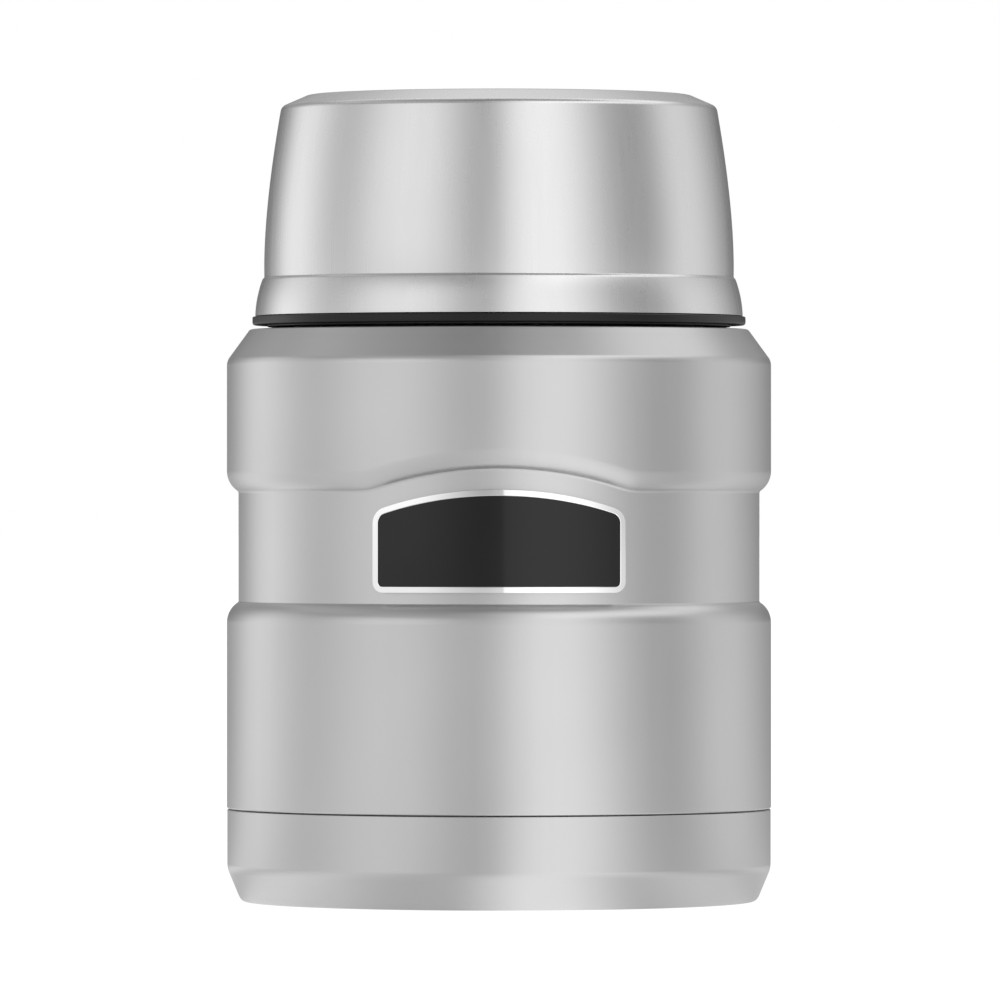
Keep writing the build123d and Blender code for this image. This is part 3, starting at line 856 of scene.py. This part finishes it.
def badgeBlank(border):
    # the flat outline, x counted along the bend, its top an arc through both sides and the peak;
    # it is sliced upright so that it can bend, and its border is marked off all round
    half = badge["waist"] * asin(badge["halfWidth"] / badge["waist"])
    rise = badge["peak"] - badge["sideTop"]
    radius = (half**2 + rise**2) / (2 * rise)
    centre = badge["peak"] - radius
    reach = int((half - badge["corner"]) / badge["slice"])  # leaves room for the corners
    slices = [k * badge["slice"] for k in range(reach, -reach - 1, -1)]
    arch = [(half, badge["sideTop"])]
    arch += [(x, centre + sqrt(radius**2 - x**2)) for x in slices]
    arch += [(-half, badge["sideTop"])]
    places = [(x, 0, z) for x, z in [(-half, badge["bottom"]), (half, badge["bottom"]), *arch]]
    bm = bmesh.new()
    corner = badge["corner"]
    roundedFace(bm, places, [corner, corner, corner, *[0] * len(slices), corner], segments=8)
    for cut in slices:
        everything = bm.verts[:] + bm.edges[:] + bm.faces[:]
        bmesh.ops.bisect_plane(bm, geom=everything, plane_co=(cut, 0, 0), plane_no=(1, 0, 0), dist=1e-4)
    marked = bmesh.ops.inset_region(
        bm, faces=bm.faces[:], thickness=border, use_even_offset=True, use_boundary=True
    )
    return bm, marked["faces"]


def bendRoundWaist(bm):
    # wraps the sliced piece: depth in front of y = 0 becomes radius
    for vert in bm.verts:
        angle = vert.co.x / badge["waist"]
        radius = badge["back"] - vert.co.y
        vert.co.x = radius * sin(angle)
        vert.co.y = -radius * cos(angle)


def makeBadgeFrame():
    bm, border = badgeBlank(badge["border"])
    bmesh.ops.delete(bm, geom=[f for f in bm.faces if f not in border], context="FACES")
    raiseFaces(bm, (0, -badge["frameHeight"], 0))
    frontEdges = [
        e
        for e in bm.edges
        if all(v.co.y < -badge["frameHeight"] / 2 for v in e.verts)
        and any(abs(f.normal.y) < 0.5 for f in e.link_faces)
    ]
    softenEdges(bm, frontEdges, badge["frameEdge"])
    bendRoundWaist(bm)
    # sharp enough to keep the bright front even right up to its softened edges
    closeMesh(bm, "badgeFrame", "badgeChrome", "jar", "badge_frame", sharp=12)


def makeBadgeFace():
    bm, border = badgeBlank(badge["border"] + badge["gap"])
    bmesh.ops.delete(bm, geom=border, context="FACES")
    raiseFaces(bm, (0, -badge["faceHeight"], 0))
    bendRoundWaist(bm)
    closeMesh(bm, "badgeFace", "badgeBlack", "jar", "badge_face", sharp=50)


makeBadgeFrame()
makeBadgeFace()
print("badge is bent")


# inner vessel: the food space, its mouth and rolled lip

vessel = {
    "radius": 41.8,
    "bottom": 12.6,
    "corner": 6.0,
    "shoulder": 86.5,
    "bend": 1.4,
    "neckBottom": 97.0,
    "neckBend": 0.8,
    "neck": 33.9,
    "lipRadius": 35.2,
    "lipBottom": 116.5,
    "lipTop": 117.0,
    "lipEdge": 0.2,
    "mouthEdge": 0.3,
    "wall": 0.5,
}


def makeInnerVessel():
    wall, radius, neck = vessel["wall"], vessel["radius"], vessel["neck"]
    bm = turnSection(
        [
            (0, vessel["bottom"], 0),
            (radius, vessel["bottom"], vessel["corner"]),
            (radius, vessel["shoulder"], vessel["bend"]),
            (neck, vessel["neckBottom"], vessel["neckBend"]),
            (neck, vessel["lipBottom"], 0),
            (vessel["lipRadius"], vessel["lipBottom"], 0),
            (vessel["lipRadius"], vessel["lipTop"], vessel["lipEdge"]),
            (neck - wall, vessel["lipTop"], vessel["mouthEdge"]),
            (neck - wall, vessel["neckBottom"] - wall / 2, vessel["neckBend"]),
            (radius - wall, vessel["shoulder"] - wall / 2, vessel["bend"]),
            (radius - wall, vessel["bottom"] + wall, vessel["corner"] - wall),
            (0, vessel["bottom"] + wall, 0),
        ]
    )
    closeMesh(bm, "innerVessel", "vesselSteel", "jar", "inner_vessel")


makeInnerVessel()
print("inner vessel is turned")


# stopper: threaded cap with a fluted grip, plug and gasket

stopper = {
    "skirtInner": 36.4,
    "skirtOuter": 37.7,
    "skirtBottom": 99.15,
    "flange": 40.0,
    "flangeWall": 0.5,
    "flangeEdge": 0.15,
    "flangeRoot": 0.3,
    "deckBottom": 117.4,
    "deckTop": 119.4,
    "deckEdge": 0.6,
    "underDeck": 0.3,
    "grip": 35.4,
    "gripWall": 1.6,
    "gripTop": 129.0,
    "gripRoot": 0.35,
    "gripEdge": 0.6,
    "gripInnerEdge": 0.4,
    "wellCorner": 0.5,
    "flutes": 18,
    "fluteRadius": 1.2,
    "fluteFoot": 121.0,
    "fluteFade": 1.2,
}


def flutedRadius(x, y, z):
    # the grip's outside at this side of the stopper, hollowed by the nearest flute
    pitch = 2 * pi / stopper["flutes"]
    angle = (atan2(y, x) + pitch / 2) % pitch - pitch / 2
    across = stopper["grip"] * angle
    if abs(across) >= stopper["fluteRadius"]:
        return stopper["grip"]
    bottom = stopper["grip"] + stopper["fluteRadius"] / 2 - sqrt(stopper["fluteRadius"] ** 2 - across**2)
    share = min(1, max(0, (z - stopper["fluteFoot"]) / stopper["fluteFade"]))
    return stopper["grip"] + min(0, bottom - stopper["grip"]) * share


def makeStopperCap():
    inner, skirt, bottom = stopper["skirtInner"], stopper["skirtOuter"], stopper["skirtBottom"]
    grip, wall, edge = stopper["grip"], stopper["gripWall"], stopper["flangeEdge"]
    foot, fadeOut = stopper["fluteFoot"], stopper["fluteFade"]
    bm = turnSection(
        [
            (0, stopper["deckBottom"], 0),
            (inner, stopper["deckBottom"], stopper["underDeck"]),
            (inner, bottom, edge),
            (stopper["flange"], bottom, edge),
            (stopper["flange"], bottom + stopper["flangeWall"], edge),
            (skirt, bottom + stopper["flangeWall"], stopper["flangeRoot"]),
            (skirt, stopper["deckTop"], stopper["deckEdge"]),
            (grip, stopper["deckTop"], stopper["gripRoot"]),
            *[(grip, foot + fadeOut * k / 4, 0) for k in range(5)],
            (grip, stopper["gripTop"], stopper["gripEdge"]),
            (grip - wall, stopper["gripTop"], stopper["gripInnerEdge"]),
            (grip - wall, stopper["deckTop"], stopper["wellCorner"]),
            (0, stopper["deckTop"], 0),
        ],
        steps=540,  # fine enough for the flutes
    )
    for vert in bm.verts:
        radius = hypot(vert.co.x, vert.co.y)
        if vert.co.z > foot and radius > grip - wall / 2:
            wanted = min(radius, flutedRadius(*vert.co))
            vert.co.x *= wanted / radius
            vert.co.y *= wanted / radius
    addThread(bm, skirt, 1, lidThread)
    addThread(bm, inner, -1, neckThread, drop=halfPitch(neckThread))
    closeMesh(bm, "stopperCap", "stopperPlastic", "stopper", "stopper_cap")


plug = {
    "radius": 32.6,
    "core": 31.4,
    "wall": 1.4,
    "bottom": 103.0,
    "seat": (105.1, 109.0),  # the groove that holds the gasket
    "bottomEdge": 0.6,
    "seatEdge": 0.15,
    "seatCorner": 0.1,
    "ledgeEdge": 0.3,
    "ledgeRoot": 0.2,
    "innerCorner": 0.3,
}


def makeStopperPlug():
    low, high = plug["seat"]
    radius, core, wall, bottom = plug["radius"], plug["core"], plug["wall"], plug["bottom"]
    bm = turnSection(
        [
            (0, bottom, 0),
            (radius, bottom, plug["bottomEdge"]),
            (radius, low, plug["seatEdge"]),
            (core, low, plug["seatCorner"]),
            (core, high, plug["seatCorner"]),
            (radius, high, plug["seatEdge"]),
            (radius, high + wall, plug["ledgeEdge"]),
            (core, high + wall, plug["ledgeRoot"]),
            (core, stopper["deckBottom"], 0),
            (core - wall, stopper["deckBottom"], 0),
            (core - wall, bottom + wall, plug["innerCorner"]),
            (0, bottom + wall, 0),
        ]
    )
    closeMesh(bm, "stopperPlug", "stopperPlastic", "stopper", "stopper_plug")


gasket = {
    "radius": 33.3,
    "lip": 1.0,
    "gap": 0.05,  # play in its groove
    "edge": 0.1,
    "lipEdge": 0.2,
    "valley": 0.15,
}


def makeGasket():
    # a soft ring with two lips that wipe the mouth
    core, waist = plug["core"] + gasket["gap"], plug["radius"] + gasket["gap"]
    low, high = plug["seat"][0] + gasket["gap"], plug["seat"][1] - gasket["gap"]
    middle, lip, edge = (low + high) / 2, gasket["lip"], gasket["edge"]
    bm = turnSection(
        [
            (core, low, edge),
            (waist, low, edge),
            (gasket["radius"], middle - lip, gasket["lipEdge"]),
            (waist, middle - lip / 2, gasket["valley"]),
            (waist, middle + lip / 2, gasket["valley"]),
            (gasket["radius"], middle + lip, gasket["lipEdge"]),
            (waist, high, edge),
            (core, high, edge),
        ]
    )
    closeMesh(bm, "stopperGasket", "silicone", "gasket", "stopper_gasket")


makeStopperCap()
makeStopperPlug()
makeGasket()
print("stopper is moulded")


# lid liner: the threaded bowl inside the lid

liner = {
    "radius": 39.9,
    "wall": 1.0,
    "straightTop": 112.0,
    "middle": (39.1, 122.0),
    "corner": (37.1, 133.5),
    "top": 136.0,
    "edge": 0.2,
    "cornerEdge": 0.8,
    "innerCornerEdge": 0.9,
}


def linerOutline(inset, rounding):
    (middle, middleZ), (corner, cornerZ) = liner["middle"], liner["corner"]
    start = (liner["radius"] - inset, liner["straightTop"])
    outline = [(liner["radius"] - inset, lid["bottom"], liner["edge"]), (*start, 0)]
    outline += bowedPoints(start, (middle - inset, middleZ), (corner - inset, cornerZ - inset / 2), 12)
    roundLast(outline, rounding)
    outline += [(corner - liner["top"] + cornerZ - inset / 2, liner["top"] - inset, rounding)]
    outline += [(0, liner["top"] - inset, 0)]
    return outline


def makeLidLiner():
    inside = linerOutline(liner["wall"], liner["innerCornerEdge"])
    bm = turnSection(linerOutline(0, liner["cornerEdge"]) + inside[::-1])
    addThread(bm, liner["radius"] - liner["wall"], -1, lidThread, drop=halfPitch(lidThread))
    closeMesh(bm, "lidLiner", "linerPlastic", "lid", "lid_liner")


makeLidLiner()
print("lid liner is moulded")


# folding spoon in the recess of the grip

spoon = {
    "centre": -7.5,
    "halfLength": 21.0,
    "halfWidth": 17.0,
    "depth": 6.0,
    "wall": 1.0,
    # the scoop's corners: share of the half length, height over its lowest point, and rounding
    "scoop": [(0.46, 0, 0.1), (0.87, 2.3, 0.2)],
    "hollow": [(0.84, 2.5, 0.2), (0.44, 1.0, 0.1)],
    "scoopEdge": 0.012,
    "rim": 125.75,
    "neckStart": 12.6,
    "neckEnd": 23.6,
    "neckPlate": 1.2,
    "earInner": 3.3,
    "earWall": 1.5,
    "earRound": 1.8,
    "earFoot": 0.3,
    "earFootRound": 0.8,
    "pivot": (26.0, 126.9),
    "barrel": 2.0,
    "bladeStart": 20.0,
    "bladeTip": -24.0,
    "bladeHalfWidth": 6.0,
    "rootHalfWidth": 3.0,
    "rootBend": 2.0,
    "bladeBend": 3.0,
    "bladeWall": 1.5,
    "slot": (-18.0, -6.0, 1.5),
    "roundEnd": 0.98,  # rounding of a round end, as a share of its half width
    "rivet": 1.0,
    "rivetHead": 1.8,
    "headHeight": 0.6,
    "headEdge": 0.5,
    "play": 0.05,
    "sleeveInnerEdge": 0.1,
    "edge": 0.3,
}


def makeSpoonBowl():
    # the scoop is turned with a radius of 1 along x, then stretched to its oval
    rim, wall = spoon["rim"], spoon["wall"]
    thin = wall / spoon["halfLength"]
    floor = rim - spoon["depth"]
    outside = [(share, floor + up, rounding) for share, up, rounding in spoon["scoop"]]
    inside = [(share, floor + up, rounding) for share, up, rounding in spoon["hollow"]]
    section = [(0, floor, 0), *outside, (1.0, rim, spoon["scoopEdge"])]
    section += [(1 - thin, rim, spoon["scoopEdge"]), *inside, (0, floor + wall, 0)]
    bm = turnSection(section, steps=128, segments=8)
    stretch = Matrix.Diagonal((spoon["halfLength"], spoon["halfWidth"], 1, 1))
    bm.transform(Matrix.Translation((spoon["centre"], 0, 0)) @ stretch)
    half = spoon["earInner"] + spoon["earWall"]
    start, end, low = spoon["neckStart"], spoon["neckEnd"], rim - spoon["neckPlate"]
    neck = [(start, -half, 0), (end, -half, 0), (end, half, 0), (start, half, 0)]
    plate = cutPlate(neck, spoon["neckPlate"], spoon["edge"])
    addPart(bm, plate, Matrix.Translation((0, 0, low)))
    (pivotX, pivotZ), barrel = spoon["pivot"], spoon["barrel"]
    ear = [
        (spoon["bladeStart"], low, 0),
        (pivotX + barrel, low, spoon["earRound"]),
        (pivotX + barrel, pivotZ + barrel, spoon["earRound"]),
        (pivotX - barrel, pivotZ + barrel, barrel),
        (pivotX - barrel, pivotZ - spoon["earFoot"], spoon["earFootRound"]),
        (spoon["bladeStart"], rim, 0),
    ]
    for side in (-half, spoon["earInner"]):
        upright = Matrix.Translation((0, side + spoon["earWall"], 0)) @ Matrix.Rotation(pi / 2, 4, "X")
        addPart(bm, cutPlate(ear, spoon["earWall"], spoon["edge"]), upright)
    closeMesh(bm, "spoonBowl", "spoonSteel", "spoon", "spoon_bowl")


def acrossPivot():
    # turns something made about the z axis onto the rivet's line
    pivotX, pivotZ = spoon["pivot"]
    return Matrix.Translation((pivotX, 0, pivotZ)) @ Matrix.Rotation(pi / 2, 4, "X")


def makeSpoonHandle():
    start, tip, root = spoon["bladeStart"], spoon["bladeTip"], spoon["rootHalfWidth"]
    half, (pivotX, pivotZ) = spoon["bladeHalfWidth"], spoon["pivot"]
    inSleeve = pivotX - spoon["rivet"] - spoon["edge"]
    blade = [
        (inSleeve, root, 0),
        (start, root, spoon["rootBend"]),
        (start - half, half, spoon["bladeBend"]),
        (tip, half, half * spoon["roundEnd"]),
        (tip, -half, half * spoon["roundEnd"]),
        (start - half, -half, spoon["bladeBend"]),
        (start, -root, spoon["rootBend"]),
        (inSleeve, -root, 0),
    ]
    left, right, slotHalf = spoon["slot"]
    corners = ((left, slotHalf), (right, slotHalf), (right, -slotHalf), (left, -slotHalf))
    slot = [(x, y, slotHalf * spoon["roundEnd"]) for x, y in corners]
    bm = cutPlate(blade, spoon["bladeWall"], spoon["edge"], slot)
    bm.transform(Matrix.Translation((0, 0, pivotZ - spoon["bladeWall"] / 2)))
    hole, barrel = spoon["rivet"] + spoon["play"], spoon["barrel"]
    bore, edge = spoon["sleeveInnerEdge"], spoon["edge"]
    sleeve = [(hole, -root, bore), (barrel, -root, edge), (barrel, root, edge), (hole, root, bore)]
    addPart(bm, turnSection(sleeve, steps=64), acrossPivot())
    closeMesh(bm, "spoonHandle", "spoonSteel", "handle", "spoon_handle")


def makeSpoonRivet():
    pin, head, face = spoon["rivet"], spoon["rivetHead"], spoon["earInner"] + spoon["earWall"]
    top = face + spoon["headHeight"]
    section = [(0, -top, 0), (head, -top, spoon["headEdge"]), (head, -face, 0), (pin, -face, 0)]
    section += [(r, -z, rounding) for r, z, rounding in section[::-1]]
    bm = turnSection(section, steps=64)
    bm.transform(acrossPivot())
    closeMesh(bm, "spoonRivet", "spoonSteel", "spoon", "spoon_rivet")


makeSpoonBowl()
makeSpoonHandle()
makeSpoonRivet()
print("spoon is folded")
